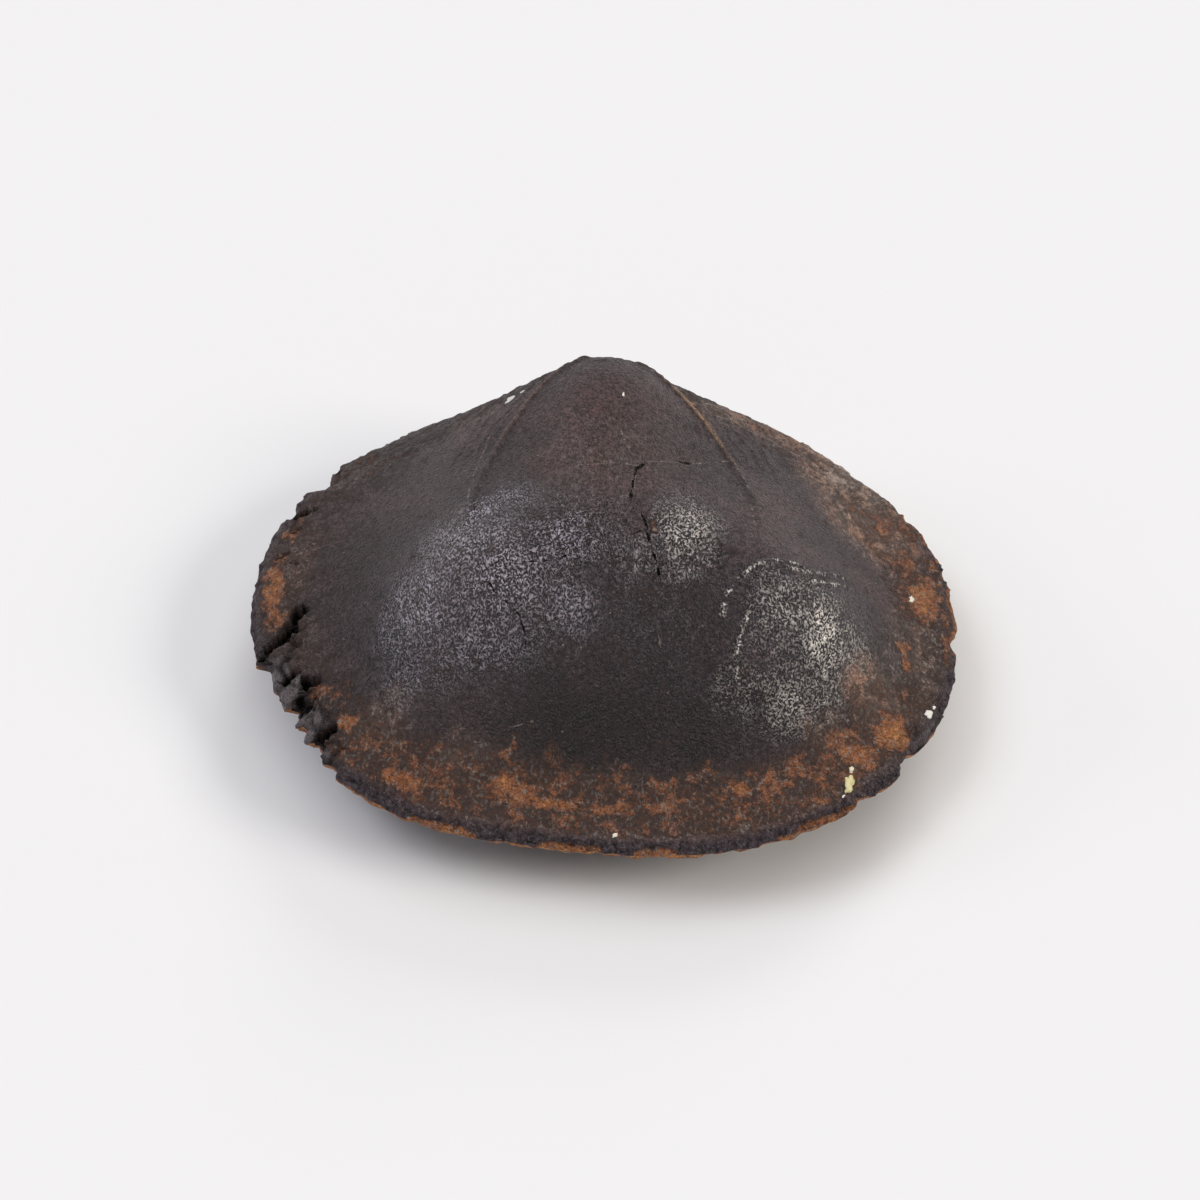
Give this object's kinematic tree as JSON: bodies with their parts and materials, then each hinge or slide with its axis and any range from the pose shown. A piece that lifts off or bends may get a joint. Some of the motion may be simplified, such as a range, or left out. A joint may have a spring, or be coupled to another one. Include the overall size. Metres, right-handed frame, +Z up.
{
  "type": "brachiopod fossil",
  "caption": "Smooth fossil lamp shell of dark ironstone: a domed upper valve on a thin rusty brim with a chipped left edge, lying on its shallow lower valve.",
  "frame": {"origin": "centre of the stone's plan box, on the surface it lies on", "axes": "+X across the stone, to the right seen from the front; +Y back towards the beaks; +Z up through the domed upper valve"},
  "size_m": [0.039, 0.0302, 0.0142],
  "materials": {
    "ironstone": "satin, rough and rusty along the brim"
  },
  "bodies": {
    "root": {"brachiopod_fossil": "ironstone"}
  },
  "joints": []
}
